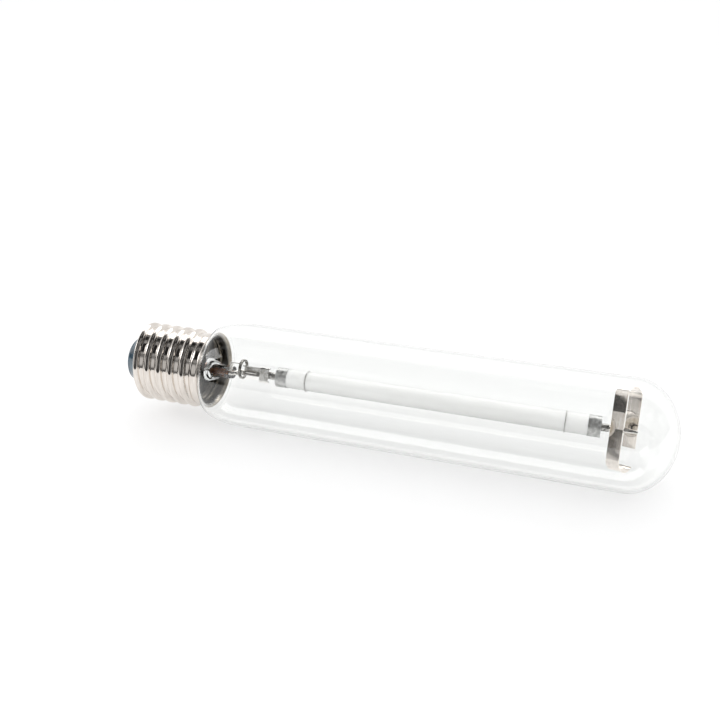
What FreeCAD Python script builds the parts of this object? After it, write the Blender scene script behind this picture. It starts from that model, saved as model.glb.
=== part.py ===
import FreeCAD, Part
import math
import os

from FreeCAD import Vector

# High pressure sodium lamp with a large screw cap, lying on its side.
# X runs along the lamp from the end of the centre contact to the dome.
# Y points away from the viewer and Z up. The origin is on the lamp's axis, on the
# flat end of the contact. Sizes are in millimetres.
# Every piece is made with the lamp's own "up" along Z, and is then turned about the
# axis to the way round that the lamp lies.

# How the lamp lies
lamp_turn = -26.4         # degrees about the axis

# Screw cap
cap_length = 46.0         # contact end to rim
thread_pitch = 6.35
thread_crest_radius = 19.65
thread_root_radius = 17.8
thread_crest_arc = 1.9    # radius of the rounded crest
thread_turns = 6.8        # of the whole helix, before the shell's ends trim it
thread_start = 0.5        # start of the helix, from the contact end
thread_valley = 0.3       # flat between two turns of the ridge
thread_run_out = 1.6      # where the ridge fades at its ends
thread_trim = 0.1         # how far the trimming clears the ridge
thread_on_shoulder = 1.0 / 3.0  # share of the shoulder that the ridge runs onto
shell_wall = 0.4
shell_start = 8.4         # contact end to the shell's open end
shell_opening_radius = 13.4
shell_shoulder_arc = 2.4
skirt_radius = 18.3       # plain band between thread and rim
skirt_length = 4.2
skirt_step = 1.0
rim_radius = 19.3
rim_arc = 1.6

# Cap insulator, contact and leads
contact_plate_radius = 6.3
contact_plate_thickness = 0.8
solder_radius = 5.7
solder_height = 1.7
solder_flat_radius = 2.6
insulator_tip_radius = 11.0
insulator_edge_arc = 1.4
insulator_flange = 3.0
lead_radius = 0.4
lead_bend = 1.2
cap_fit = 0.15            # gap between the shell and what it holds
lead_fit = 0.3            # gap round a lead in its hole

# Outer bulb
bulb_radius = 25.75
bulb_wall = 1.0
arc_tube_to_dome = 33.2   # end of the arc tube to the dome's tip
dome_height = 21.1
shoulder_length = 19.0    # rounded shoulder, along the axis
shoulder_from_rim = 1.0
neck_arc = 3.1            # hollow curve between neck and shoulder
neck_start = 15.0         # contact end to the neck's open end

# Glass stem
stem_radius = 7.2
stem_wall = 1.4
flare_thickness = 1.3
flare_length = 9.0
press_beyond_rim = 9.0
press_length = 4.5
press_thickness = 6.0
press_width = 14.5
flattening_length = 7.0   # from the round tube to the press
exhaust_radius = 2.4
exhaust_wall = 0.9
exhaust_start = 19.0      # contact end to the tipped-off end
fused_gap = 0.05          # pieces fused or wrapped together lie this close

# Wires and small metalwork at the base end
mount_rise = 1.5          # arc tube's axis above the bulb's axis
seal_wire_radius = 0.9
seal_wire_spacing = 7.2
seal_wire_inside = 9.0    # length of a seal wire in the glass
seal_wire_outside = 0.8
post_radius = 1.0
post_straight = 2.2       # from the seal wire to the first bend
post_run = 2.6            # between its two bends, along the axis
post_bend = 2.0
post_length = 13.5
getter_radius = 4.5
getter_section = 0.8      # radial width of the channel
getter_width = 1.2
getter_wall = 0.2
getter_from_press = 7.2
getter_rise = 1.2         # above the arc tube's axis
tab_thickness = 0.4
tab_width = 3.0
channel_length = 9.4
channel_wall = 0.45
channel_depth = 2.9
channel_height = 4.6
channel_end_gap = 9.4     # channel to the arc tube
clip_thickness = 0.35
clip_width = 4.6
clip_height = 7.6
clip_curl = 0.8
clip_curl_angle = 160.0   # each curled end, degrees
clip_end_gap = 4.4        # clip to the arc tube

# Arc tube
arc_tube_from_rim = 34.6
arc_tube_length = 153.8
arc_tube_radius = 4.65
arc_tube_wall = 0.75
plug_length = 7.0
plug_recess = 0.8
frit_thickness = 0.7
niobium_radius = 1.75
niobium_wall = 0.25
niobium_outside = 6.0     # length of a feedthrough tube outside the arc tube
dome_feedthrough = 3.4    # the same at the dome end
niobium_inside = 9.0
crimp_length = 3.0
crimp_change = 1.0        # from the round tube to the flat
crimp_thickness = 1.6
crimp_width = 4.2
shank_radius = 0.6
electrode_reach = 20.0    # end of the arc tube to the electrode's tip
coil_radius = 1.75
coil_turns = 6
coil_length = 5.0
coil_from_tip = 1.0
pellet_radius = 1.1
pellet_length = 2.0
pellet_from_plug = 1.5
shield_width = 5.6
shield_thickness = 0.15
ring_from_end = 15.4
ignition_wire_radius = 0.3
ignition_ring_radius = 0.22

# Dome end
frame_rod_radius = 1.2
frame_rod_offset = 9.4    # from the arc tube's axis
frame_rod_run = 4.6       # between its two bends, along the axis
frame_rod_bend = 4.0
frame_rod_past_tube = 8.0
bridge_width = 3.0
bridge_thickness = 0.4
bridge_overhang = 1.0
bridge_gap = 0.4          # feedthrough to the strip
pin_radius = 1.2
pin_start = 1.5           # from the arc tube's end, inside the feedthrough
pin_past_tube = 15.6
pin_taper = 4.0
pin_tip_radius = 0.7
strap_thickness = 0.35
strap_width = 6.8
strap_turn = 40.0         # degrees about the strap's own long axis
strap_past_tube = 9.7
strap_rise = 20.1         # pin's axis to the top of the loop
strap_drop = 18.2
strap_tail = 7.5          # free end of the far arm, below the pin's axis
strap_end_angle = 150.0   # arc of the bottom bend, degrees
strap_fit = 0.25          # gap between the strap's edges and the pin

# Places that follow from the sizes
rim_x = cap_length
skirt_x = rim_x - skirt_length
insulator_face_x = solder_height + contact_plate_thickness
insulator_back_x = shell_start + shell_wall + cap_fit + insulator_flange
neck_radius = thread_root_radius - shell_wall - cap_fit
press_end_x = rim_x + press_beyond_rim
wire_end_x = press_end_x + seal_wire_outside
arc_start_x = rim_x + arc_tube_from_rim
arc_end_x = arc_start_x + arc_tube_length
dome_tip_x = arc_end_x + arc_tube_to_dome
arc_bore = arc_tube_radius - arc_tube_wall
plug_radius = arc_bore - fused_gap
wire_y = seal_wire_spacing / 2.0
X_AXIS = Vector(1, 0, 0)
CENTRE = Vector(0, 0, 0)


# Outlines in the XZ plane, written as x and radius

def place(x, radius):
    return Vector(x, 0, radius)


def line(a, b):
    return Part.LineSegment(a, b).toShape()


def round_arc(centre, radius, start, end):
    """Arc of a circle, its angles in degrees from +X towards +Z."""
    angles = [math.radians(a) for a in (start, (start + end) / 2.0, end)]
    points = [centre + Vector(radius * math.cos(a), 0, radius * math.sin(a)) for a in angles]
    return Part.Arc(*points).toShape()


def quarter_ellipse(centre, along, across):
    """Quarter of an ellipse from its end on the X line to its top.

    A negative value of along puts that end on the -X side.
    """
    end = centre + place(along, 0)
    top = centre + place(0, across)
    ends = (end, top) if abs(along) >= abs(across) else (top, end)
    ellipse = Part.Ellipse(ends[0], ends[1], centre)
    return Part.ArcOfEllipse(ellipse, 0.0, math.pi / 2.0).toBSpline().toShape()


def turned(edges):
    """Solid of revolution about the lamp's axis from the edges of a closed outline."""
    wire = Part.Wire(Part.sortEdges(edges)[0])
    return Part.Face(wire).revolve(CENTRE, X_AXIS, 360)


def turned_points(points):
    corners = [place(x, r) for x, r in points]
    return turned([line(a, b) for a, b in zip(corners, corners[1:] + corners[:1])])


def tube(x0, x1, outer, inner):
    return turned_points([(x0, inner), (x1, inner), (x1, outer), (x0, outer)])


def rod(x0, x1, radius, y=0.0, z=0.0):
    return Part.makeCylinder(radius, x1 - x0, Vector(x0, y, z), X_AXIS)


def box(low, high):
    size = high - low
    return Part.makeBox(size.x, size.y, size.z, low)


def bent_wire(points, radius, bend):
    """Round wire whose straight runs are joined by tangent arcs."""
    edges = []
    start = points[0]
    for before, corner, after in zip(points, points[1:], points[2:]):
        back = (before - corner).normalize()
        ahead = (after - corner).normalize()
        half = back.getAngle(ahead) / 2.0
        setback = bend / math.tan(half)
        middle = (back + ahead).normalize()
        centre = corner + middle * (bend / math.sin(half))
        into = corner + back * setback
        out = corner + ahead * setback
        edges.append(line(start, into))
        edges.append(Part.Arc(into, centre - middle * bend, out).toShape())
        start = out
    edges.append(line(start, points[-1]))
    section = Part.Wire(Part.makeCircle(radius, points[0], points[1] - points[0]))
    return Part.Wire(edges).makePipeShell([section], True, True)


def flat_outline(x, width, thickness):
    """Slot-shaped outline across the lamp's axis, wide in Y and thin in Z."""
    end = thickness / 2.0
    side = width / 2.0 - end
    corners = [Vector(x, y, z) for y, z in ((side, -end), (side, end), (-side, end), (-side, -end))]
    tips = [Vector(x, side + end, 0), Vector(x, -side - end, 0)]
    return Part.Wire([
        Part.Arc(corners[0], tips[0], corners[1]).toShape(), line(corners[1], corners[2]),
        Part.Arc(corners[2], tips[1], corners[3]).toShape(), line(corners[3], corners[0])])


def round_outline(x, radius):
    """Circle across the lamp's axis in four arcs, to match a flat outline."""
    eighth = math.pi / 4.0
    angles = [eighth * (i - 1) for i in range(9)]
    points = [Vector(x, radius * math.cos(a), radius * math.sin(a)) for a in angles]
    return Part.Wire([Part.Arc(*points[i:i + 3]).toShape() for i in (0, 2, 4, 6)])


def flattened_end(round_x, flat_x, end_x, radius, width, thickness):
    """Solid end that goes from round to flat and then runs on flat."""
    flat = flat_outline(flat_x, width, thickness)
    change = Part.makeLoft([round_outline(round_x, radius), flat], True, True)
    blade = Part.Face(flat).extrude(Vector(end_x - flat_x, 0, 0))
    return change.fuse(blade)


def folded_strip(bends, radius, thickness, width, tail):
    """Strip of even thickness, bent about each centre in turn from one angle to another.

    The bends lie in the XZ plane, with straight runs between them and a straight
    tail before the first one. The width runs both ways along Y.
    """
    edges = []
    starts = []
    ends = []
    for r in (radius, radius + thickness):
        point = None
        for centre, first, last in bends:
            turn = math.radians(first)
            into = centre + place(r * math.cos(turn), r * math.sin(turn))
            if point is None:
                point = into + place(tail * math.sin(turn), -tail * math.cos(turn))
                starts.append(point)
            if point.distanceToPoint(into) > fused_gap:
                edges.append(line(point, into))
            edges.append(round_arc(centre, r, first, last))
            turn = math.radians(last)
            point = centre + place(r * math.cos(turn), r * math.sin(turn))
        ends.append(point)
    edges += [line(*starts), line(*ends)]
    face = Part.Face(Part.Wire(Part.sortEdges(edges)[0]))
    return face.extrude(Vector(0, width, 0)).translated(Vector(0, -width / 2.0, 0))


def raised(shape):
    """The arc tube and what carries it sit above the bulb's axis."""
    return shape.translated(Vector(0, 0, mount_rise))


def mirrored_end(shape):
    """Copy of a piece of the arc tube's base end for its dome end."""
    return shape.mirror(Vector((arc_start_x + arc_end_x) / 2.0, 0, 0), X_AXIS)


# Screw cap

def thread_ridge(inset):
    """Helical ridge of the rolled thread, with its outline moved in by inset."""
    base = thread_root_radius - 2.0 * thread_trim
    half_width = (thread_pitch - thread_valley) / 2.0
    flank = 2.0 * math.degrees(math.atan2(thread_crest_radius - base, half_width))
    crest_arc = thread_crest_arc - inset
    root_arc = half_width / math.sin(math.radians(flank)) - crest_arc
    root = base - inset
    edges = [round_arc(place(0, thread_crest_radius - thread_crest_arc), crest_arc,
                       90 - flank, 90 + flank)]
    for side in (1, -1):
        foot = place(side * half_width, root)
        edges.append(round_arc(foot + place(0, root_arc), root_arc, -90, -90 - side * flank))
        edges.append(line(foot, foot - place(0, 2.0 * thread_trim)))
    bottom = root - 2.0 * thread_trim
    edges.append(line(place(-half_width, bottom), place(half_width, bottom)))
    section = Part.Wire(Part.sortEdges(edges)[0])
    section.rotate(CENTRE, X_AXIS, 180)
    helix = Part.makeHelix(thread_pitch, thread_pitch * thread_turns, thread_root_radius)
    helix.rotate(CENTRE, Vector(0, 1, 0), 90)
    ridge = helix.makePipeShell([section], True, True)
    return ridge.translated(place(thread_start, 0))


def shell_body(inset):
    """Turned and threaded form of the shell, with every outline moved in by inset."""
    root = thread_root_radius - inset
    skirt = skirt_radius - inset
    start = shell_start + inset
    shoulder = shell_shoulder_arc - inset
    corner = place(shell_start + shell_shoulder_arc, thread_root_radius - shell_shoulder_arc)
    flare = rim_arc + inset
    flare_angle = math.degrees(math.acos(1.0 - (rim_radius - skirt_radius) / rim_arc))
    flare_centre = place(rim_x - rim_arc * math.sin(math.radians(flare_angle)),
                         skirt_radius + rim_arc)
    rim = flare_centre + place(flare * math.sin(math.radians(flare_angle)),
                               -flare * math.cos(math.radians(flare_angle)))
    ends = [rim, place(rim.x, 0), place(start, 0), place(start, corner.z)]
    wall = [place(corner.x, root), place(skirt_x - skirt_step, root), place(skirt_x, skirt),
            place(flare_centre.x, skirt)]
    edges = [line(a, b) for a, b in list(zip(ends, ends[1:])) + list(zip(wall, wall[1:]))]
    edges.append(round_arc(corner, shoulder, 180, 90))
    edges.append(round_arc(flare_centre, flare, -90, -90 + flare_angle))
    crest = thread_crest_radius - inset + thread_trim
    foot = root - 2.0 * thread_trim
    first_x = corner.x - shoulder * thread_on_shoulder
    last_x = skirt_x - skirt_step
    limit = turned_points([
        (first_x, 0), (first_x, foot), (first_x + thread_run_out, crest),
        (last_x - thread_run_out, crest), (last_x, foot), (last_x, 0)])
    return turned(edges).fuse(thread_ridge(inset).common(limit))


def cap_shell():
    opening = rod(0, cap_length, shell_opening_radius)
    return shell_body(0.0).cut(shell_body(shell_wall)).cut(opening)


def cap_insulator():
    """Glass plug with a rounded cone outside the shell and a flange inside it."""
    throat = shell_opening_radius - cap_fit
    flange = thread_root_radius - shell_shoulder_arc - cap_fit
    flange_x = insulator_back_x - insulator_flange
    hole = lead_radius + lead_fit
    corner = place(insulator_face_x + insulator_edge_arc,
                   insulator_tip_radius - insulator_edge_arc)
    points = [(corner.x, insulator_tip_radius), (shell_start, throat), (flange_x, throat),
              (flange_x, flange), (insulator_back_x, flange), (insulator_back_x, hole),
              (insulator_face_x, hole), (insulator_face_x, corner.z)]
    edges = [line(place(*a), place(*b)) for a, b in zip(points, points[1:])]
    edges.append(round_arc(corner, insulator_edge_arc, 180, 90))
    return turned(edges)


def centre_contact():
    """Stamped disc on the insulator's end, with a hole for the lead."""
    return tube(solder_height, insulator_face_x, contact_plate_radius, lead_radius + lead_fit)


def contact_solder():
    """Low solder dome, flat in the middle, that the lead ends in."""
    rise = solder_height
    run = solder_radius - solder_flat_radius
    radius = (rise * rise + run * run) / (2.0 * rise)
    top = place(0, solder_flat_radius)
    centre = place(radius, solder_flat_radius)
    angle = math.degrees(math.asin(min(1.0, run / radius)))
    edge = place(rise, solder_radius)
    edges = [line(CENTRE, top), round_arc(centre, radius, 180, 180 - angle),
             line(edge, place(rise, 0)), line(place(rise, 0), CENTRE)]
    return turned(edges)


def contact_lead():
    """Lead from the live seal wire through the insulator to the solder."""
    inner = press_end_x - seal_wire_inside
    bend_x = neck_start + 2.0 * lead_bend
    points = [Vector(inner, -wire_y, 0), Vector(bend_x, -wire_y, 0),
              Vector(insulator_back_x + lead_bend, 0, 0), Vector(solder_height, 0, 0)]
    return bent_wire(points, lead_radius, lead_bend)


def shell_lead():
    """Lead from the return seal wire round the neck's open end to the shell's wall."""
    inner = press_end_x - seal_wire_inside
    turn_x = (insulator_back_x + neck_start) / 2.0
    reach = thread_root_radius - shell_wall - cap_fit
    points = [Vector(inner, wire_y, 0), Vector(turn_x, wire_y, 0), Vector(turn_x, reach, 0)]
    return bent_wire(points, lead_radius, lead_bend)


# Outer bulb and stem

def bulb_outline(inset):
    """Outline of the bulb from its neck to the dome's tip, moved in by inset."""
    shoulder_x = rim_x + shoulder_from_rim
    neck_end = place(shoulder_x - neck_arc, neck_radius - inset)
    hollow = place(neck_end.x, neck_radius + neck_arc)
    shoulder = place(shoulder_x + shoulder_length, hollow.z)
    dome = place(dome_tip_x - dome_height, 0)
    return [
        line(place(neck_start, neck_end.z), neck_end),
        round_arc(hollow, neck_arc + inset, -90, 0),
        quarter_ellipse(shoulder, inset - shoulder_length, bulb_radius - hollow.z - inset),
        line(place(shoulder.x, bulb_radius - inset), place(dome.x, bulb_radius - inset)),
        quarter_ellipse(dome, dome_height - inset, bulb_radius - inset)]


def outer_bulb():
    edges = bulb_outline(0.0) + bulb_outline(bulb_wall)
    edges.append(line(place(neck_start, neck_radius), place(neck_start, neck_radius - bulb_wall)))
    edges.append(line(place(dome_tip_x, 0), place(dome_tip_x - bulb_wall, 0)))
    return turned(edges)


def stem_glass():
    """Flare, tube, exhaust tube and flat press, fused to one piece."""
    flare_edge = neck_radius - bulb_wall - fused_gap
    bore = stem_radius - stem_wall
    tube_end = press_end_x - press_length - flattening_length
    flare_end = neck_start + flare_length
    spread = flare_edge - stem_radius
    centre = place(flare_end, flare_edge)
    flare = turned([
        quarter_ellipse(centre, flare_thickness - flare_length, -spread),
        quarter_ellipse(centre, -flare_length, -spread - stem_wall),
        line(place(neck_start, flare_edge), place(neck_start + flare_thickness, flare_edge)),
        line(place(flare_end, bore), place(flare_end, stem_radius))])
    press = flattened_end(tube_end, press_end_x - press_length, press_end_x,
                          stem_radius, press_width, press_thickness)
    exhaust = tube(exhaust_start + exhaust_radius, tube_end, exhaust_radius,
                   exhaust_radius - exhaust_wall)
    tip = Part.makeSphere(exhaust_radius, place(exhaust_start + exhaust_radius, 0))
    tip = tip.common(rod(exhaust_start, exhaust_start + exhaust_radius, exhaust_radius))
    glass = flare.fuse([tube(flare_end, tube_end, stem_radius, bore), press, exhaust, tip])
    return glass.cut([seal_wire(-1), seal_wire(1), contact_lead(), shell_lead()])


def seal_wire(side):
    """Copper coloured wire through the press, on the near side for -1."""
    return rod(press_end_x - seal_wire_inside, wire_end_x, seal_wire_radius, side * wire_y)


# Metalwork at the base end

def live_post():
    """Wire from the near seal wire to the arc tube's axis."""
    bend_x = wire_end_x + post_straight
    points = [Vector(wire_end_x, -wire_y, 0), Vector(bend_x, -wire_y, 0),
              Vector(bend_x + post_run, 0, mount_rise),
              Vector(wire_end_x + post_length, 0, mount_rise)]
    return bent_wire(points, post_radius, post_bend)


def getter_ring():
    """Ring channel round the post, with its groove towards the dome."""
    face = press_end_x + getter_from_press
    back = face - getter_width
    inner = getter_radius - getter_section / 2.0
    outer = getter_radius + getter_section / 2.0
    wall = getter_wall
    ring = turned_points([
        (back, inner), (face, inner), (face, inner + wall), (back + wall, inner + wall),
        (back + wall, outer - wall), (face, outer - wall), (face, outer), (back, outer)])
    return raised(ring.translated(place(0, getter_rise)))


def getter_tab():
    """Folded strip that stands on the post and carries the getter ring."""
    foot_x = press_end_x + fused_gap
    riser_x = wire_end_x + post_straight / 2.0
    ring_x = press_end_x + getter_from_press - getter_width
    foot_z = post_radius + fused_gap
    reach = math.sqrt(getter_radius ** 2 - wire_y ** 2)
    top_z = mount_rise + getter_rise + reach + tab_thickness / 2.0
    low_y = -wire_y - tab_width / 2.0
    foot = box(Vector(foot_x, low_y, foot_z),
               Vector(riser_x, low_y + tab_width, foot_z + tab_thickness))
    riser = box(Vector(riser_x - tab_thickness, low_y, foot_z),
                Vector(riser_x, low_y + tab_width, top_z))
    arm = box(Vector(riser_x - tab_thickness, low_y, top_z - tab_thickness),
              Vector(ring_x, low_y + tab_width, top_z))
    return foot.fuse([riser, arm]).removeSplitter()


def connector_strip():
    """Folded channel over the post's end, open towards the viewer."""
    end_x = arc_start_x - channel_end_gap
    inside = post_radius + fused_gap
    outside = inside + channel_wall
    top = channel_height - outside
    low = Vector(end_x - channel_length, outside - channel_depth, -outside)
    block = box(low, Vector(end_x, outside, top))
    past = channel_wall
    slot = box(low - Vector(past, past, -channel_wall),
               Vector(end_x + past, inside, top - channel_wall))
    return raised(block.cut(slot))


def base_clip():
    """Cross strap with curled ends in front of the crimped feedthrough."""
    bend_z = clip_height / 2.0 - clip_curl - clip_thickness
    bends = [(place(0, bend_z), 180 - clip_curl_angle, 180),
             (place(0, -bend_z), 180, 180 + clip_curl_angle)]
    strip = folded_strip(bends, clip_curl, clip_thickness, clip_width, 0.0)
    strip.rotate(CENTRE, Vector(0, 0, 1), 90)
    face = crimp_width / 2.0 + fused_gap
    x = arc_start_x - clip_end_gap - clip_width / 2.0
    return raised(strip.translated(Vector(x, clip_curl - face, 0)))


# Arc tube, its ends and electrodes

def arc_tube():
    return raised(tube(arc_start_x, arc_end_x, arc_tube_radius, arc_bore))


def end_plug():
    start = arc_start_x + plug_recess
    return raised(tube(start, start + plug_length, plug_radius, niobium_radius + fused_gap))


def frit_seal():
    end = arc_start_x + plug_recess
    return raised(tube(end - frit_thickness, end, plug_radius, niobium_radius + fused_gap))


def feedthrough(outside):
    """Niobium tube through the plug, closed at its inner end."""
    bore = niobium_radius - niobium_wall
    inner_end = arc_start_x + niobium_inside
    body = rod(arc_start_x - outside, inner_end, niobium_radius)
    return body.cut(rod(arc_start_x - outside, inner_end - niobium_wall, bore))


def niobium_tube_base():
    """Feedthrough whose outer end is pinched flat."""
    round_x = arc_start_x - niobium_outside
    flat_x = round_x - crimp_change
    crimp = flattened_end(round_x, flat_x, round_x - crimp_length,
                          niobium_radius, crimp_width, crimp_thickness)
    return raised(feedthrough(niobium_outside).fuse(crimp))


def niobium_tube_dome():
    """Feedthrough with an open outer end, which the pin goes into."""
    return mirrored_end(raised(feedthrough(dome_feedthrough)))


def electrode_shank():
    start = arc_start_x + niobium_inside
    return raised(rod(start, arc_start_x + electrode_reach, shank_radius))


def electrode_coil():
    """Wire coil on the shank, turned with one rounded ridge for each turn."""
    end = arc_start_x + electrode_reach - coil_from_tip
    start = end - coil_length
    half = coil_length / coil_turns / 2.0
    inner = shank_radius + fused_gap
    ridge_z = coil_radius - half
    edges = [line(place(start, ridge_z), place(start, inner)),
             line(place(start, inner), place(end, inner)),
             line(place(end, inner), place(end, ridge_z))]
    for turn in range(coil_turns):
        edges.append(round_arc(place(start + half * (2 * turn + 1), ridge_z), half, 180, 0))
    return raised(turned(edges))


def amalgam_pellet():
    """Sodium amalgam dose, lying against the arc tube's wall behind the electrode."""
    start = arc_start_x + plug_recess + plug_length + pellet_from_plug
    low = arc_bore - pellet_radius - fused_gap
    return raised(rod(start, start + pellet_length, pellet_radius, 0.0, -low))


def heat_shield():
    inner = arc_tube_radius + fused_gap
    return raised(tube(arc_start_x, arc_start_x + shield_width, inner + shield_thickness, inner))


def ignition_wire():
    """Wire along the far side of the arc tube, with a ring at each end of the arc.

    A short leg in the middle holds it to the frame rod.
    """
    away = arc_tube_radius + fused_gap + ignition_wire_radius
    ring_away = arc_tube_radius + fused_gap + ignition_ring_radius
    first_x = arc_start_x + ring_from_end
    last_x = arc_end_x - ring_from_end
    rings = [Part.makeTorus(ring_away, ignition_ring_radius, place(x, 0), X_AXIS)
             for x in (first_x, last_x)]
    run = rod(first_x - ignition_wire_radius, last_x + ignition_wire_radius,
              ignition_wire_radius, away)
    leg = Part.makeCylinder(ignition_ring_radius, frame_rod_offset - frame_rod_radius - away,
                            Vector((first_x + last_x) / 2.0, away, 0), Vector(0, 1, 0))
    return raised(run.fuse(rings + [leg]))


# Frame and dome end

def frame_rod():
    """Return conductor from the far seal wire, behind the arc tube, to its dome end."""
    bend_x = wire_end_x + post_straight
    points = [Vector(wire_end_x, wire_y, 0), Vector(bend_x, wire_y, 0),
              Vector(bend_x + frame_rod_run, frame_rod_offset, mount_rise),
              Vector(arc_end_x + frame_rod_past_tube, frame_rod_offset, mount_rise)]
    return bent_wire(points, frame_rod_radius, frame_rod_bend)


def bridge_strip():
    """Flat strip under the pin and the frame rod."""
    start = arc_end_x + dome_feedthrough + bridge_gap
    low = Vector(start, -bridge_overhang, -max(pin_radius, frame_rod_radius) - bridge_thickness)
    return raised(box(low, low + Vector(
        bridge_width, frame_rod_offset + 2.0 * bridge_overhang, bridge_thickness)))


def dome_pin():
    """Pin from the feedthrough to the far side of the strap, with a tapered tip."""
    start = arc_end_x + pin_start
    end = arc_end_x + pin_past_tube
    return raised(turned_points([
        (start, 0), (start, pin_radius), (end - pin_taper, pin_radius),
        (end, pin_tip_radius), (end, 0)]))


def spring_strap():
    """Looped strap across the bulb, whose two arms hold the pin between their edges."""
    turn = math.radians(strap_turn)
    half_width = strap_width / 2.0
    inside = (pin_radius + strap_fit + half_width * math.sin(turn)) / math.cos(turn)
    outside = inside + strap_thickness
    top = place(0, strap_rise - outside)
    bottom = place(0, outside - strap_drop)
    bends = [(top, 0, 180), (bottom, 180, 180 + strap_end_angle)]
    strap = folded_strip(bends, inside, strap_thickness, strap_width, top.z + strap_tail)
    strap.rotate(CENTRE, Vector(0, 0, 1), 90.0 - strap_turn)
    return raised(strap.translated(place(arc_end_x + strap_past_tube, 0)))


def all_parts():
    """Every piece by its name, from the contact end to the dome."""
    parts = {
        "cap_shell": cap_shell(),
        "cap_insulator": cap_insulator(),
        "centre_contact": centre_contact(),
        "contact_solder": contact_solder(),
        "contact_lead": contact_lead(),
        "shell_lead": shell_lead(),
        "outer_bulb": outer_bulb(),
        "stem_glass": stem_glass(),
        "seal_wire_live": seal_wire(-1),
        "seal_wire_return": seal_wire(1),
        "live_post": live_post(),
        "getter_ring": getter_ring(),
        "getter_tab": getter_tab(),
        "connector_strip": connector_strip(),
        "base_clip": base_clip(),
        "arc_tube": arc_tube(),
        "niobium_tube_base": niobium_tube_base(),
        "niobium_tube_dome": niobium_tube_dome(),
        "amalgam_pellet": amalgam_pellet(),
        "ignition_wire": ignition_wire(),
        "frame_rod": frame_rod(),
        "bridge_strip": bridge_strip(),
        "dome_pin": dome_pin(),
        "spring_strap": spring_strap(),
    }
    both_ends = {"end_plug": end_plug, "frit_seal": frit_seal, "heat_shield": heat_shield,
                 "electrode_shank": electrode_shank, "electrode_coil": electrode_coil}
    for name, make in both_ends.items():
        parts[name + "_base"] = make()
        parts[name + "_dome"] = mirrored_end(make())
    return parts


os.makedirs("parts", exist_ok=True)
for name, shape in all_parts().items():
    shape.rotate(CENTRE, X_AXIS, lamp_turn)
    shape.exportStep("parts/%s.step" % name)
    print("%-22s %d solid %10.2f mm3" % (name, len(shape.Solids), shape.Volume))
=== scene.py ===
# %% [markdown]
# # A high pressure sodium lamp, dressed for the camera
# The lamp is a clear glass tube with a screw cap at one end. Inside it hang a slim white
# arc tube and the bright metalwork that holds it. The solid model of every piece is
# already there. This script gives the pieces their finishes, makes the screw shell and
# the bulb again as finer surfaces, and sets up the table, the light and the camera.

# %% Load the frame
import math
import bmesh
import bpy
import numpy as np
from mathutils import Matrix, Vector


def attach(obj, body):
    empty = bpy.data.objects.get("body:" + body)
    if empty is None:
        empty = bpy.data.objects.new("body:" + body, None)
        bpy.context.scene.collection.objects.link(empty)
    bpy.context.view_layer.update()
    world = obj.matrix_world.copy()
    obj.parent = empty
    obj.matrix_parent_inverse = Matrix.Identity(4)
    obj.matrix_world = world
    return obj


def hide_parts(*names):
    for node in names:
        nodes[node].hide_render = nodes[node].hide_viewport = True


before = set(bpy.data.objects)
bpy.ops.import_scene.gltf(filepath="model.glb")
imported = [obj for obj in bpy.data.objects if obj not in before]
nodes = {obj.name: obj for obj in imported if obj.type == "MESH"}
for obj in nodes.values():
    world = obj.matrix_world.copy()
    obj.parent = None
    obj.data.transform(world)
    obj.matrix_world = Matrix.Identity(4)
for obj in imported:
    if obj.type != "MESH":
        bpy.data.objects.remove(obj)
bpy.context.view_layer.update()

print("pieces in the frame:", len(nodes))

# %% [markdown]
# ## Axes
# X runs along the lamp, from the end of the centre contact to the dome. The lamp has
# rolled on the table, so its metalwork has an "up" of its own. A piece could be made
# upright and its object turned, but then its patterns would turn with it. Here shapes
# are worked out in millimetres in the lamp's own axes, and one function turns the
# points, so that every object stays at the origin.

# %% The lamp's own axes
MM = 0.001
LAMP_TURN = math.radians(-26.4)


def in_frame(points):
    """Points in the lamp's own axes, in mm, turned about X into the frame, in metres."""
    x, y, z = points[..., 0], points[..., 1], points[..., 2]
    c, s = math.cos(LAMP_TURN), math.sin(LAMP_TURN)
    return np.stack([x, y * c - z * s, y * s + z * c], -1) * MM


print("lamp's turn about X:", round(math.degrees(LAMP_TURN), 1), "degrees")

# %% [markdown]
# ## Surfaces as grids
# The cap and the bulb are round about one axis. Blender could spin an outline into them,
# but a thread climbs as it goes round, which a spun outline can't do. A grid of two
# parameters takes both: one runs along an outline and the other round the axis, and
# whole arrays give all the points at once. Rows that shrink to a point on the axis are
# merged, so that the surface is closed at its poles.

# %% Grid to mesh
def merge_poles(mesh):
    """Points that fall on each other, as on the axis, become one."""
    edit = bmesh.new()
    edit.from_mesh(mesh)
    bmesh.ops.remove_doubles(edit, verts=edit.verts, dist=1e-7)
    edit.to_mesh(mesh)
    edit.free()


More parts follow.
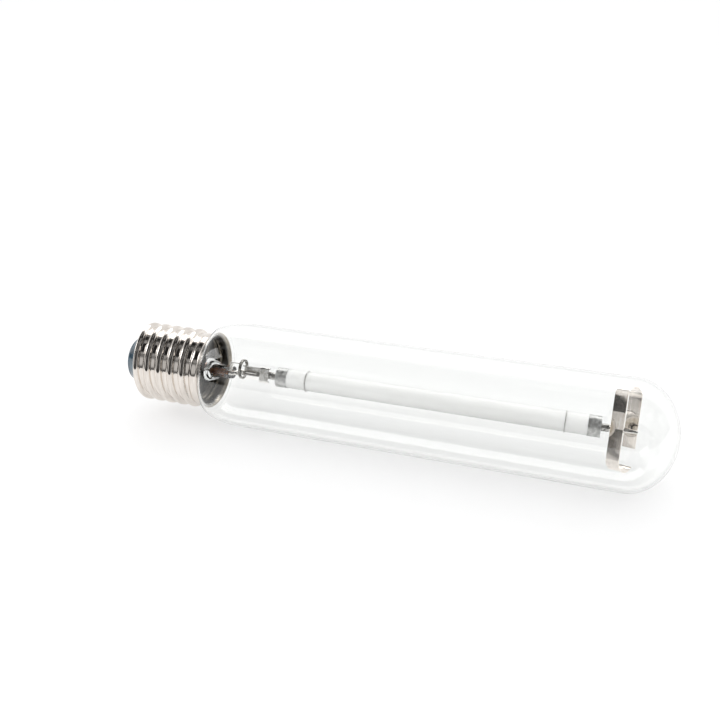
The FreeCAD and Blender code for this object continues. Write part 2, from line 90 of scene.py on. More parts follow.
def surface(name, points, material, join_ends=False):
    """Mesh from a grid of points, rows along the outline and columns round the axis.

    Each cell of the grid is one four-sided face. The last column joins the first, and
    join_ends joins the last row to the first. Where the volume that the faces enclose
    comes out negative, they point inwards, and all of them are turned over.
    """
    rows, columns = points.shape[:2]
    index = np.arange(rows * columns).reshape(rows, columns)
    index = np.concatenate([index, index[:, :1]], 1)
    if join_ends:
        index = np.concatenate([index, index[:1]], 0)
    quads = np.stack([index[:-1, :-1], index[:-1, 1:], index[1:, 1:], index[1:, :-1]], -1)
    quads = quads.reshape(-1, 4)
    flat = in_frame(points).reshape(-1, 3)
    a, b, c, d = (flat[quads[:, i]] for i in range(4))
    volume = np.einsum("ij,ij->i", a, np.cross(b, c) + np.cross(c, d)).sum()
    if volume < 0:
        quads = quads[:, ::-1]
    mesh = bpy.data.meshes.new(name)
    mesh.from_pydata(flat.tolist(), [], quads.tolist())
    piece = bpy.data.objects.new(name, mesh)
    bpy.context.scene.collection.objects.link(piece)
    merge_poles(mesh)
    mesh.shade_smooth()
    mesh.materials.append(material)
    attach(piece, "root")
    print(name, "faces:", len(mesh.polygons))
    return piece


# %% Outlines
def arc(centre, radius, first, last, steps):
    """Outline points on a circle or, with two radii, on an ellipse.

    The angles are in degrees, from +X towards outwards: x = centre + radius cos angle,
    and the distance from the axis is centre + radius sin angle.
    """
    angle = np.radians(np.linspace(first, last, steps + 1))
    along, across = (radius, radius) if np.isscalar(radius) else radius
    return np.stack([centre[0] + along * np.cos(angle), centre[1] + across * np.sin(angle)], -1)


def straight(start, end, steps):
    """Outline points spaced evenly from start to end."""
    share = np.linspace(0, 1, steps + 1)[:, None]
    return np.array(start) * (1 - share) + np.array(end) * share


def outline(*runs):
    """Runs of outline points joined to one, without doubled points."""
    points = np.concatenate(runs)
    step = np.linalg.norm(np.diff(points, axis=0), axis=1)
    return points[np.concatenate([[True], step > 1e-6])]


# %% [markdown]
# ## Finishes from nodes
# Real metal and glass are never one flat colour. A photo of a surface could be wrapped
# round each piece, but these pieces are small and curved, and it would need seams. So
# each finish is one Principled shader with noise on it, read from Object coordinates,
# which stay where they are on the piece. Those coordinates are divided by a length along
# each axis first: short lengths give fine grain, and a long one beside two short ones
# gives streaks.

# %% One shader
def principled(name, color, metallic, roughness, **sockets):
    """A material with one Principled shader and the plain values of its sockets."""
    made = bpy.data.materials.new(name)
    made.use_nodes = True
    shader = made.node_tree.nodes["Principled BSDF"]
    shader.inputs["Base Color"].default_value = (*color, 1)
    shader.inputs["Metallic"].default_value = metallic
    shader.inputs["Roughness"].default_value = roughness
    for socket, value in sockets.items():
        shader.inputs[socket.replace("_", " ")].default_value = value
    return made


# %% Nodes that reckon
def map_range(tree, source, start, end, low=0.0, high=1.0, smooth=False):
    """Goes from low, where the source is start, to high, where it is end, and no further.

    It goes evenly, or as an S-shaped curve where smooth is set.
    """
    span = tree.nodes.new("ShaderNodeMapRange")
    if smooth:
        span.interpolation_type = "SMOOTHSTEP"
    span.inputs["From Min"].default_value = start
    span.inputs["From Max"].default_value = end
    span.inputs["To Min"].default_value = low
    span.inputs["To Max"].default_value = high
    tree.links.new(source, span.inputs["Value"])
    return span.outputs["Result"]


def feed(tree, sockets, values):
    """Each value goes into its socket: a number is typed in, and an output is linked."""
    for socket, value in zip(sockets, values):
        if isinstance(value, float):
            socket.default_value = value
        else:
            tree.links.new(value, socket)


def math_node(tree, operation, first, second):
    """One Math node of two values."""
    made = tree.nodes.new("ShaderNodeMath")
    made.operation = operation
    feed(tree, made.inputs[:2], (first, second))
    return made.outputs["Value"]


def mix(tree, factor, first, second):
    """first where the factor is 0, second where it is 1, and a blend between them."""
    made = tree.nodes.new("ShaderNodeMix")
    feed(tree, [made.inputs[name] for name in ("Factor", "A", "B")], (factor, first, second))
    return made.outputs["Result"]


# %% Noise on a piece
def own_place(made, unit_mm, turn=(0, 0, 0)):
    """Object coordinates, turned to the finish's own axes and counted in units of mm.

    A Mapping node of the Texture kind turns the point back first, and then divides it
    by the length of a unit along each axis.
    """
    tree = made.node_tree
    place = tree.nodes.new("ShaderNodeTexCoord")
    mapping = tree.nodes.new("ShaderNodeMapping")
    mapping.vector_type = "TEXTURE"
    mapping.inputs["Rotation"].default_value = turn
    mapping.inputs["Scale"].default_value = [MM * unit for unit in unit_mm]
    tree.links.new(place.outputs["Object"], mapping.inputs["Vector"])
    return mapping.outputs["Vector"]


def noise(made, wave_mm, detail=4.0, turn=(0, 0, 0)):
    """Noise with waves so many mm long along each of the finish's own axes."""
    tree = made.node_tree
    texture = tree.nodes.new("ShaderNodeTexNoise")
    texture.inputs["Scale"].default_value = 1.0
    texture.inputs["Detail"].default_value = detail
    tree.links.new(own_place(made, wave_mm, turn), texture.inputs["Vector"])
    return texture.outputs["Fac"]


# %% What the noise does
def vary_roughness(made, source, low, high):
    """Roughness between low and high, as the noise goes from a third to two thirds."""
    tree = made.node_tree
    result = map_range(tree, source, 0.33, 0.67, low, high)
    tree.links.new(result, tree.nodes["Principled BSDF"].inputs["Roughness"])


def vary_color(made, source, dark, light, low=0.35, high=0.65):
    """Base colour between dark and light, as the source goes from low to high."""
    tree = made.node_tree
    ramp = tree.nodes.new("ShaderNodeValToRGB")
    for stop, place, color in zip(ramp.color_ramp.elements, (low, high), (dark, light)):
        stop.position = place
        stop.color = (*color, 1)
    tree.links.new(source, ramp.inputs["Fac"])
    tree.links.new(ramp.outputs["Color"], tree.nodes["Principled BSDF"].inputs["Base Color"])


def relief(made, source, depth_mm):
    """Bump that is depth_mm high where the source is 1, on top of any that is there."""
    tree = made.node_tree
    normal = tree.nodes["Principled BSDF"].inputs["Normal"]
    bump = tree.nodes.new("ShaderNodeBump")
    bump.inputs["Distance"].default_value = depth_mm * MM
    if normal.is_linked:
        tree.links.new(normal.links[0].from_socket, bump.inputs["Normal"])
    tree.links.new(source, bump.inputs["Height"])
    tree.links.new(bump.outputs["Normal"], normal)


# %% [markdown]
# ## Metals
# The shell is brass sheet with bright nickel on it: almost a mirror, and a little warm.
# Its streaks run round it, the way the roller drew the sheet. The inside of the rim is
# duller. The wires and strips inside the bulb are bright metal that was bent and welded
# by hand, so their relief is deeper and they glint. The getter ring is dark where its
# filling burned off. The feedthroughs and the thin shields have the mottled grey of
# metal that was fired, and the copper seals are the one warm spot at the base. One
# function makes them all, so that a row of numbers tells one metal from the next.

# %% Metal finishes
def metal(name, dark, light, rough, grain, depth_mm, turn=(0, 0, 0)):
    """Metal whose colour, shine and relief follow one noise, finer or coarser by grain."""
    made = principled(name, light, 1.0, rough[0])
    source = noise(made, grain, turn=turn)
    vary_color(made, source, dark, light)
    vary_roughness(made, source, *rough)
    relief(made, source, depth_mm)
    return made


# Each row: dark and light colour, least and most roughness, grain and relief in mm.
METALS = {
    "nickel_plate": ((0.70, 0.65, 0.60), (0.83, 0.78, 0.73), (0.05, 0.10), (1.2, 9, 9), 0.003),
    "nickel_inside": ((0.30, 0.26, 0.21), (0.70, 0.62, 0.53), (0.26, 0.42), (6, 11, 11), 0.02),
    "contact_plate": ((0.36, 0.42, 0.48), (0.60, 0.68, 0.74), (0.16, 0.30), (1.5, 1.5, 1.5), 0.02),
    "solder": ((0.38, 0.42, 0.46), (0.62, 0.68, 0.73), (0.20, 0.38), (2, 2, 2), 0.06),
    "drawn_wire": ((0.70, 0.68, 0.65), (0.92, 0.90, 0.87), (0.06, 0.18), (3, 1.2, 1.2), 0.08),
    "copper_seal": ((0.62, 0.26, 0.12), (0.84, 0.45, 0.26), (0.22, 0.40), (2, 2, 2), 0.01),
    "getter_steel": ((0.12, 0.115, 0.11), (0.56, 0.54, 0.50), (0.18, 0.40), (2.4, 2.4, 2.4), 0.03),
    "bright_strip": ((0.74, 0.72, 0.69), (0.94, 0.93, 0.91), (0.08, 0.22), (2, 2, 2), 0.38),
    "ignition_metal": ((0.45, 0.44, 0.43), (0.66, 0.65, 0.64), (0.25, 0.45), (3, 0.7, 0.7), 0.01),
    "niobium": ((0.20, 0.19, 0.18), (0.70, 0.69, 0.67), (0.20, 0.42), (1.1, 1.1, 1.1), 0.05),
    "shield_foil": ((0.46, 0.46, 0.45), (0.80, 0.80, 0.79), (0.35, 0.60), (1.8, 1.8, 1.8), 0.06),
    "tungsten": ((0.16, 0.155, 0.15), (0.36, 0.35, 0.34), (0.30, 0.50), (0.8, 0.8, 0.8), 0.02),
    "amalgam": ((0.40, 0.40, 0.42), (0.62, 0.62, 0.64), (0.30, 0.45), (1.1, 1.1, 1.1), 0.05),
}
metals = {name: metal(name, *row) for name, row in METALS.items()}
print("metals:", len(metals))

# %% [markdown]
# ## Brushed spring strip
# The strap at the dome end is rolled spring strip, brushed along its length. Noise that
# is long along the strap and very short across it gives the fine lengthwise lines. Such
# strip is never quite flat. A lean of a few degrees is enough to go from mirroring the
# dark room to mirroring something bright: the near arm leans only just above the pin, so
# it has a pale band between two dark ones, and the far arm leans all the way down. The
# lean could be bent into the mesh. It is relief here, because the strap's solid is thin
# and fits closely round the pin.

# %% Strap finish
STRAP_TURN = (LAMP_TURN, 0, 0)
BAND = (2.0, 9.5)         # heights of the near arm's pale band, mm
BAND_LEAN = 0.45          # how far it leans over that height, mm
FAR_ARM = (-8.0, 18.0)    # heights of the far arm, mm
FAR_LEAN = 1.56
ARM_FOOT = (-14.0, -9.0)  # below the far arm's free end, mm
spring_strip = metal("spring_strip", (0.80, 0.73, 0.67), (0.95, 0.90, 0.85), (0.03, 0.07),
                     (0.5, 0.5, 26), 0.006, turn=STRAP_TURN)
relief(spring_strip, noise(spring_strip, (40, 40, 15), detail=0.0), 0.2)
tree = spring_strip.node_tree
strap_axes = tree.nodes.new("ShaderNodeSeparateXYZ")
tree.links.new(own_place(spring_strip, (1, 1, 1), STRAP_TURN), strap_axes.inputs["Vector"])
height = strap_axes.outputs["Z"]
near_arm = map_range(tree, height, *BAND, 0.0, BAND_LEAN)
far_arm = map_range(tree, height, *FAR_ARM, BAND_LEAN - FAR_LEAN, BAND_LEAN)
is_far = math_node(tree, "MULTIPLY", map_range(tree, strap_axes.outputs["Y"], -1.0, 1.0),
                   map_range(tree, height, *ARM_FOOT))
relief(spring_strip, mix(tree, is_far, near_arm, far_arm), 1.0)
lean = math.degrees(math.atan2(BAND_LEAN, BAND[1] - BAND[0]))
print("strap's lean:", round(lean, 1), "degrees")


# %% [markdown]
# ## Clear glass
# A bulb could be drawn as one thin sheet that doesn't bend light, which is quick. Here
# it has both of its sides, as the real wall has, and the ray bends at each. Two things
# help. A wall seen at a slant is painted a little darker, painted shade that draws the
# outline which real glass shows. And a ray that only asks whether a lamp is in sight
# can't bend, so it would stop at the glass: it meets a Transparent shader there, whose
# colour says how much light gets through.

# %% Glass finishes
SLANT = (0.72, 0.97)  # how far a wall turns away before it darkens, and where it is darkest
SLANT_SHADE = 0.62


def clear_glass(name, color, light_through, grain, depth_mm):
    """Clear glass with a faint waviness and painted shade at a slant, that lets lamps' light in.
    """
    made = principled(name, color, 0.0, 0.0, Transmission_Weight=1.0, IOR=1.5)
    relief(made, noise(made, grain, detail=1.0), depth_mm)
    tree = made.node_tree
    slant = tree.nodes.new("ShaderNodeLayerWeight")
    slant.inputs["Blend"].default_value = 0.5
    # painted shade: the glass's colour darkens as the wall turns away from the camera, which draws
    # its outline
    painted_edge_shade = [SLANT_SHADE * share for share in color]
    vary_color(made, slant.outputs["Facing"], color, painted_edge_shade, *SLANT)
    clear = tree.nodes.new("ShaderNodeBsdfTransparent")
    clear.inputs["Color"].default_value = (light_through, light_through, light_through, 1)
    path = tree.nodes.new("ShaderNodeLightPath")
    choose = tree.nodes.new("ShaderNodeMixShader")
    tree.links.new(path.outputs["Is Shadow Ray"], choose.inputs["Fac"])
    tree.links.new(tree.nodes["Principled BSDF"].outputs["BSDF"], choose.inputs[1])
    tree.links.new(clear.outputs["BSDF"], choose.inputs[2])
    tree.links.new(choose.outputs["Shader"], tree.nodes["Material Output"].inputs["Surface"])
    return made


bulb_glass = clear_glass("bulb_glass", (0.99, 0.995, 0.99), 0.80, (55, 25, 25), 0.03)
stem_glass = clear_glass("stem_glass", (0.97, 0.98, 0.98), 0.92, (11, 6, 6), 0.12)
print("glass:", bulb_glass.name, stem_glass.name)

# %% [markdown]
# ## Ceramic, and the cap's dark glass
# The arc tube is fired alumina, white and a little see-through, so the electrodes show
# faintly in its ends. Light scattered under the surface would be the true way, but it
# is slow in so thin a tube. A shader that is part see-through looks the same from a step
# away. The plug between the shell and the centre contact is dark glass, melted in, with
# a blue shine.

# %% Ceramic finishes
TUBE_OPACITY = 0.85
arc_ceramic = principled("arc_ceramic", (0.97, 0.97, 0.96), 0.0, 0.42, Alpha=TUBE_OPACITY)
vary_roughness(arc_ceramic, noise(arc_ceramic, (8, 1.1, 1.1)), 0.36, 0.48)
vary_color(arc_ceramic, noise(arc_ceramic, (14, 3, 3)), (0.96, 0.96, 0.95), (0.99, 0.99, 0.98))
plug_ceramic = principled("plug_ceramic", (0.90, 0.90, 0.88), 0.0, 0.55)
vary_color(plug_ceramic, noise(plug_ceramic, (1.4, 1.4, 1.4)),
           (0.86, 0.86, 0.84), (0.95, 0.95, 0.93))
frit_glass = principled("frit", (0.80, 0.78, 0.72), 0.0, 0.30)
vary_color(frit_glass, noise(frit_glass, (1.1, 1.1, 1.1)),
           (0.62, 0.58, 0.50), (0.84, 0.82, 0.77))
cap_glass = principled("cap_insulator_glass", (0.03, 0.05, 0.07), 0.0, 0.10, Coat_Weight=0.5)
vary_color(cap_glass, noise(cap_glass, (5, 5, 5)), (0.015, 0.03, 0.045), (0.06, 0.10, 0.13))
vary_roughness(cap_glass, noise(cap_glass, (3, 3, 3)), 0.08, 0.22)
relief(cap_glass, noise(cap_glass, (6, 6, 6)), 0.04)
print("arc tube's opacity:", TUBE_OPACITY)

# %% [markdown]
# ## Every piece gets its finish
# The solid pieces of the frame stay as they are and only take a material. One table
# names the finish of each, which shows at a glance that none is left bare. Pieces that
# are there twice, once at each end of the arc tube, are named in a loop.

# %% Finish for every piece
finishes = {
    "cap_shell": metals["nickel_plate"], "cap_insulator": cap_glass,
    "centre_contact": metals["contact_plate"], "contact_solder": metals["solder"],
    "contact_lead": metals["drawn_wire"], "shell_lead": metals["drawn_wire"],
    "outer_bulb": bulb_glass, "stem_glass": stem_glass,
    "seal_wire_live": metals["copper_seal"], "seal_wire_return": metals["copper_seal"],
    "live_post": metals["drawn_wire"], "getter_ring": metals["getter_steel"],
    "getter_tab": metals["bright_strip"], "connector_strip": metals["bright_strip"],
    "base_clip": metals["bright_strip"], "arc_tube": arc_ceramic,
    "amalgam_pellet": metals["amalgam"], "ignition_wire": metals["ignition_metal"],
    "frame_rod": metals["drawn_wire"], "bridge_strip": metals["bright_strip"],
    "dome_pin": metals["drawn_wire"], "spring_strap": spring_strip,
}
for end in ("base", "dome"):
    finishes["end_plug_" + end] = plug_ceramic
    finishes["frit_seal_" + end] = frit_glass
    finishes["niobium_tube_" + end] = metals["niobium"]
    finishes["heat_shield_" + end] = metals["shield_foil"]
    finishes["electrode_shank_" + end] = metals["tungsten"]
    finishes["electrode_coil_" + end] = metals["tungsten"]
for name, finish in finishes.items():
    nodes[name].data.materials.clear()
    nodes[name].data.materials.append(finish)
print("finished:", len(finishes), "left bare:", sorted(set(nodes) - set(finishes)))

# %% [markdown]
# ## Screw shell
# The shell is thin plated sheet, rolled to a knuckle thread: round ridges that run
# round it as a screw. The Screw modifier could wind a ridge, but it leaves the ends cut
# off, and here the ridge climbs out of the shoulder and sinks into a plain band. How
# high the surface stands depends on how far along the screw line it is, so one formula
# over the grid gives the whole thread with both of its ends. First comes the outline of
# one ridge, which is two arcs: one bulges at the crest and the other is hollow at the
# foot.

# %% One ridge
PITCH = 6.35
CREST_ARC = 1.9  # radius of the rounded crest
RIDGE = 1.85     # crest above the wall
SINK = 0.2       # the hollow arcs end this far inside the wall
VALLEY = 0.3     # flat between two ridges


def knuckle(away):
    """Height of the rolled ridge above the wall, by distance from its crest line.

    Near the crest the height follows a circle that bulges outwards, and beyond it one
    that is hollow. The two circles have the same slope where they meet.
    """
    half = (PITCH - VALLEY) / 2
    height = RIDGE + SINK
    flank = 2 * math.atan2(height, half)
    root_arc = half / math.sin(flank) - CREST_ARC
    meet = CREST_ARC * math.sin(flank)
    crest = height - CREST_ARC + np.sqrt(np.maximum(CREST_ARC**2 - away**2, 0))
    beyond = np.clip(half - away, 0, half)
    root = root_arc - np.sqrt(np.maximum(root_arc**2 - beyond**2, 0))
    return np.maximum(np.where(away < meet, crest, root) - SINK, 0)


print("ridge's height at its crest:", round(float(knuckle(np.array(0.0))), 2), "mm")

# %% The thread
FIRST_CREST = 8.4375         # x of the first crest line at angle 0
FIRST_RISE = (0.26, 1.4)     # angles between which the first turn rises, in radians
STEEP = 1.9                  # how much steeper its open side is than a ridge's side
STEEP_END = (3.3, 4.8)       # angles over which that comes down to 1
LAST_SINK = (38.8, 41.2)     # x between which the last turn sinks into the band


def fade(x, start, end):
    """0 before start, 1 after end, and an even S-shaped rise between them."""
    share = np.clip((x - start) / (end - start), 0, 1)
    return share * share * (3 - 2 * share)


def ridge(x, angle):
    """Height of the thread at x and angle.

    The crest line moves on by one pitch in each turn, so the distance to the nearest
    crest is what is left of x after whole pitches. Before the first crest the height
    falls off more steeply at first, and half a pitch further out it ends.
    """
    past = x - FIRST_CREST - PITCH * angle / (2 * math.pi)
    away = np.abs(past - PITCH * np.round(past / PITCH))
    steep = np.where(past < 0, STEEP - (STEEP - 1) * fade(angle, *STEEP_END), 1.0)
    first = np.where(past < PITCH / 2, fade(angle, *FIRST_RISE), 1.0)
    present = np.where(past < -PITCH / 2, 0.0, first)
    return knuckle(away * steep) * present * (1 - fade(x, *LAST_SINK))


# %% Thread shell
SHELL_WALL = 0.4
ROOT = 17.8           # radius of the wall under the thread
OPEN_END = 8.4        # distances from the contact end
SHOULDER_END = 10.7
WALL_END = 40.8
BAND_START = 41.8
FLARE_START = 44.51
OPENING_RADIUS = 13.4
LIP_RADIUS = 13.9
BAND_RADIUS = 18.3
FLARE_ARC = 1.6
TAKES_OVER = 0.6      # a ridge this high hides the shoulder
STEPS = 150
COLUMNS = 180


def shell_sheet(inset):
    """Outline of x and radius from the open end to the rim, moved in by inset.

    Straight runs make the lip, the sloping shoulder, the wall, the step and the plain
    band, and an arc turns the rim outwards.
    """
    lip = OPEN_END + inset
    shoulder = SHOULDER_END + inset / 2
    root = ROOT - inset
    band = BAND_RADIUS - inset
    return outline(
        straight((lip, OPENING_RADIUS), (lip, LIP_RADIUS), 2),
        straight((lip, LIP_RADIUS), (shoulder, root), 16),
        straight((shoulder, root), (WALL_END, root), STEPS),
        straight((WALL_END, root), (BAND_START, band), 3),
        straight((BAND_START, band), (FLARE_START, band), 3),
        arc((FLARE_START, BAND_RADIUS + FLARE_ARC), FLARE_ARC + inset, -90, -22, 8))


def thread_grid(inset):
    """The sheet's outline carried round the axis, with the thread raised on it.

    y = r cos angle and z = r sin angle. Where the ridge stands on the sloping shoulder,
    the radius goes over from the shoulder's to the ridge's as the ridge gets higher.
    """
    sheet = shell_sheet(inset)
    angle = np.linspace(0, 2 * math.pi, COLUMNS, endpoint=False)
    x = sheet[:, :1] + 0 * angle
    height = ridge(x, angle)
    share = fade(height, 0.0, TAKES_OVER)
    raised = np.maximum(ROOT - inset, sheet[:, 1:]) + height
    r = sheet[:, 1:] * (1 - share) + raised * share
    return np.stack([x, r * np.cos(angle), r * np.sin(angle)], -1)


outer = thread_grid(0.0)
inner = thread_grid(SHELL_WALL)
shell = surface("screw_shell", np.concatenate([outer, inner[::-1]]), metals["nickel_plate"],
                join_ends=True)
shell.data.materials.append(metals["nickel_inside"])
is_inside = np.zeros(len(shell.data.polygons), np.int32)
is_inside[len(outer) * COLUMNS:] = 1
shell.data.polygons.foreach_set("material_index", is_inside)
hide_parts("cap_shell")

# %% [markdown]
# ## Outer bulb
# The bulb is blown from one glass tube, so it has one even wall. Its outline is a short
# neck, a hollow curve, a quarter of an ellipse for the shoulder, the straight tube and
# half an ellipse for the dome. A Solidify modifier could give an outline its wall. A
# second outline, one wall further in, does it as well and meets the first at the neck's
# open end, so the glass is closed and a ray of light finds both sides.

# %% Bulb glass
BULB_RADIUS = 25.75
BULB_WALL = 1.0
NECK_START = 15.0       # distances from the contact end
NECK_END = 43.9
DOME_TIP = 267.6
NECK_RADIUS = 17.25
NECK_ARC = 3.1          # radius of the hollow curve
SHOULDER_LENGTH = 19.0
DOME_HEIGHT = 21.1
BULB_COLUMNS = 256


def bulb_outline(inset):
    """x and radius from the neck's open end to the dome's tip, moved in by inset."""
    neck = NECK_RADIUS - inset
    tube = BULB_RADIUS - inset
    turn_radius = NECK_RADIUS + NECK_ARC
    tube_start = NECK_END + NECK_ARC + SHOULDER_LENGTH
    dome_start = DOME_TIP - DOME_HEIGHT
    return outline(
        straight((NECK_START, neck), (NECK_END, neck), 6),
        arc((NECK_END, turn_radius), NECK_ARC + inset, -90, 0, 12),
        arc((tube_start, turn_radius), (SHOULDER_LENGTH - inset, tube - turn_radius), 180, 90, 24),
        straight((tube_start, tube), (dome_start, tube), 36),
        arc((dome_start, 0.0), (DOME_HEIGHT - inset, tube), 90, 0, 40))


def turned(points, columns):
    """Outline of x and radius carried round the axis: y = r cos t and z = r sin t."""
    t = np.linspace(0, 2 * math.pi, columns, endpoint=False)
    x, r = points[:, :1], points[:, 1:]
    return np.stack([x + 0 * t, r * np.cos(t), r * np.sin(t)], -1)


sides = np.concatenate([bulb_outline(BULB_WALL)[::-1], bulb_outline(0.0)])
sides[[0, -1], 1] = 0.0
bulb = surface("bulb", turned(sides, BULB_COLUMNS), bulb_glass)
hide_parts("outer_bulb")

# %% [markdown]
# ## What each kind of ray sees
# White that is lit up to white leaves no room for a soft shadow, and lamps that bright
# would burn out the object. So the table and the surroundings ask what kind of ray has
# come. A ray from the camera, or one that metal mirrored or glass let through, sees them
# white. A ray that a matt surface has scattered sees plain white paint in plain light.
# Cycles keeps the glass flag on a ray even after a matt surface has scattered it, so the
# number of such bounces is asked too.

# %% Kinds of ray
def looked_at(tree, *names):
    """1 for a ray of any of the named kinds that no matt surface has scattered."""
    path = tree.nodes.new("ShaderNodeLightPath")
    total = path.outputs[names[0]]
    for name in names[1:]:
        total = math_node(tree, "MAXIMUM", total, path.outputs[name])
    return math_node(tree, "MULTIPLY", total,
                     math_node(tree, "LESS_THAN", path.outputs["Diffuse Depth"], 0.5))


# %% [markdown]
# ## Table
# The lamp lies on a plain white table. For a ray that looks at it, the table is a glow
# that is a little over half of white, and matt paint adds the rest. In full light the
# two come to white, and under the lamp the paint's share gets weaker, so the shadow
# stays. The table lies a hair below the bulb, so that the two never share a place.

# %% Floor
TABLE_COLOR = (0.94, 0.94, 0.94)
TABLE_SHADE = 0.355
TABLE_GLOW = 0.56
TABLE_HALF = 12.0   # metres from its middle to each side
HAIR = 0.00005      # metres between the bulb and the table
table = principled("table_white", TABLE_COLOR, 0.0, 0.9)
tree = table.node_tree
shade = tree.nodes.new("ShaderNodeBsdfDiffuse")
shade.inputs["Color"].default_value = (TABLE_SHADE, TABLE_SHADE, TABLE_SHADE, 1)
glow = tree.nodes.new("ShaderNodeEmission")
glow.inputs["Strength"].default_value = TABLE_GLOW
both = tree.nodes.new("ShaderNodeAddShader")
choose = tree.nodes.new("ShaderNodeMixShader")
tree.links.new(shade.outputs["BSDF"], both.inputs[0])
tree.links.new(glow.outputs["Emission"], both.inputs[1])
tree.links.new(looked_at(tree, "Is Camera Ray", "Is Glossy Ray", "Is Transmission Ray"),
               choose.inputs["Fac"])
tree.links.new(tree.nodes["Principled BSDF"].outputs["BSDF"], choose.inputs[1])
tree.links.new(both.outputs["Shader"], choose.inputs[2])
tree.links.new(choose.outputs["Shader"], tree.nodes["Material Output"].inputs["Surface"])

floor_z = -BULB_RADIUS * MM - HAIR
corners = [(x * TABLE_HALF, y * TABLE_HALF, floor_z)
           for x, y in ((-1, -1), (1, -1), (1, 1), (-1, 1))]
floor_mesh = bpy.data.meshes.new("floor")
floor_mesh.from_pydata(corners, [], [(0, 1, 2, 3)])
floor_mesh.materials.append(table)
floor = bpy.data.objects.new("floor", floor_mesh)
bpy.context.scene.collection.objects.link(floor)
print("table at", round(floor_z / MM, 2), "mm")

# %% [markdown]
# ## Surroundings
# Bright metal has no look of its own: it shows the room. Cards and walls could be built
# round the lamp, but they would stand in other cameras' way. The world is painted by
# direction instead, and only mirrored rays see the painting. White behind gives the
# bright tops of the ridges. A dark room with a few pale streaks gives the dark lines
# below them. A pale wall on the left and a softer one on the right show on the sides of
# the ridges, and a soft patch in front breaks up the dark in the middle of the cap.

# %% The room that metal mirrors
ROOM_STREAKS = (5.0, 5.0, 0.6)       # streaks per unit of direction: short round, long up
ROOM_DARK, ROOM_PALE = 0.015, 0.40
FRONT = (-0.39, -0.85, 0.35)         # direction of the soft patch
world = bpy.data.worlds.new("studio")
bpy.context.scene.world = world
world.use_nodes = True
tree = world.node_tree
background = tree.nodes["Background"]
background.inputs["Color"].default_value = (1, 1, 1, 1)
direction = tree.nodes.new("ShaderNodeTexCoord").outputs["Generated"]
split = tree.nodes.new("ShaderNodeSeparateXYZ")
tree.links.new(direction, split.inputs["Vector"])
stretch = tree.nodes.new("ShaderNodeMapping")
stretch.inputs["Scale"].default_value = ROOM_STREAKS
tree.links.new(direction, stretch.inputs["Vector"])
streaks = tree.nodes.new("ShaderNodeTexNoise")
streaks.inputs["Scale"].default_value = 1.0
streaks.inputs["Detail"].default_value = 2.0
tree.links.new(stretch.outputs["Vector"], streaks.inputs["Vector"])
toward = tree.nodes.new("ShaderNodeVectorMath")
toward.operation = "DOT_PRODUCT"
toward.inputs[1].default_value = FRONT
tree.links.new(direction, toward.inputs[0])
left_wall = tree.nodes.new("ShaderNodeValToRGB")
for stop, place_up, value in zip(left_wall.color_ramp.elements, (0.14, 0.20), (0.05, 0.95)):
    stop.position = place_up
    stop.color = (value, value, value, 1)
tree.links.new(split.outputs["Z"], left_wall.inputs["Fac"])
left_side = map_range(tree, split.outputs["X"], -0.70, -0.80)
room_parts = (
    math_node(tree, "MULTIPLY", left_side, left_wall.outputs["Color"]),
    map_range(tree, split.outputs["X"], 0.80, 0.88, 0.0, 0.40),
    map_range(tree, toward.outputs["Value"], 0.945, 0.985, 0.0, 0.60, smooth=True))
brightest = map_range(tree, streaks.outputs["Fac"], 0.50, 0.72, ROOM_DARK, ROOM_PALE)
for part in room_parts:
    brightest = math_node(tree, "MAXIMUM", brightest, part)
behind = map_range(tree, split.outputs["Y"], 0.33, 0.55, smooth=True)
mirrored = mix(tree, behind, brightest, 1.0)
print("room from", ROOM_DARK, "to", ROOM_PALE, "and", len(room_parts), "brighter parts")

# %% [markdown]
# ## Which ray gets which strength
# A scattered ray finds an even bright sky, which gives the soft light on the glass stem
# and the white arc tube. A mirrored or refracted ray finds the painted room, and the
# camera itself finds plain white, as 1 is white in the Standard view.

# %% World's strength
SKY = 1.25
WHITE = 1.0
lit = mix(tree, looked_at(tree, "Is Glossy Ray", "Is Transmission Ray"), SKY, mirrored)
level = mix(tree, looked_at(tree, "Is Camera Ray"), lit, WHITE)
tree.links.new(level, background.inputs["Strength"])
print("sky:", SKY, "seen by the camera:", WHITE)

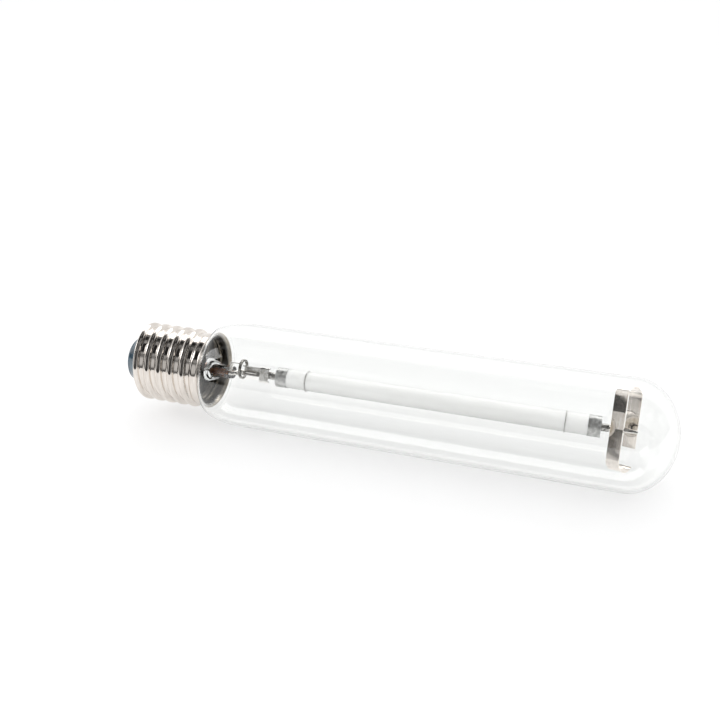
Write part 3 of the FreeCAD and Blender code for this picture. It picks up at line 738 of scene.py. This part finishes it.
# %% [markdown]
# ## Lamps
# The sky alone would leave no shadow side. Two large soft boxes, one behind and one on
# the left, add a soft shadow under the object. They are weak, because pale surfaces
# must not burn out. Spot lamps would draw hard edges on the table.

# %% Soft boxes
MIDDLE = Vector((0.13, 0, 0))   # of the object, in metres


def soft_lamp(name, place, width, height, watts):
    """A large flat lamp at place that faces the middle of the object."""
    light = bpy.data.lights.new(name, "AREA")
    light.shape = "RECTANGLE"
    light.size = width
    light.size_y = height
    light.energy = watts
    lamp = bpy.data.objects.new(name, light)
    lamp.location = place
    lamp.rotation_euler = (MIDDLE - Vector(place)).to_track_quat("-Z", "Y").to_euler()
    bpy.context.scene.collection.objects.link(lamp)
    print(name, watts, "W")


soft_lamp("back_softbox", (0.05, 0.75, 0.75), 1.3, 0.5, 4.0)
soft_lamp("left_softbox", (-0.9, -0.3, 0.8), 0.5, 0.5, 2.0)

# %% [markdown]
# ## Camera
# The camera sees the lamp from the photo's angle. Its place could be tried out by hand.
# It was worked out instead, from where the thread's crests and the bulb's outlines lie
# in the photo, as three directions that are square to each other and a distance. The
# directions become the columns of the camera's matrix: right, up and backwards.

# %% Camera
RIGHT = Vector((0.95411, 0.29946, 0.0))
DOWN = Vector((0.13830, -0.44064, -0.88697))
AHEAD = Vector((-0.26561, 0.84626, -0.46183))
TARGET = Vector((75.3, 0, 0))                    # a point on the axis, mm
OFFSET = Vector((-45.347, 9.1, 403.031))         # from the camera to it: right, down, ahead
where = (TARGET - RIGHT * OFFSET.x - DOWN * OFFSET.y - AHEAD * OFFSET.z) * MM
eye = bpy.data.cameras.new("camera")
eye.sensor_width = 36.0
eye.lens = 40.75
eye.clip_start = 0.01
camera = bpy.data.objects.new("camera", eye)
turn = Matrix((RIGHT, -DOWN, -AHEAD)).transposed()
camera.matrix_world = Matrix.Translation(where) @ turn.to_4x4()
bpy.context.scene.collection.objects.link(camera)
bpy.context.scene.camera = camera
bpy.context.scene.view_settings.view_transform = "Standard"
print("camera at", [round(v, 3) for v in where])
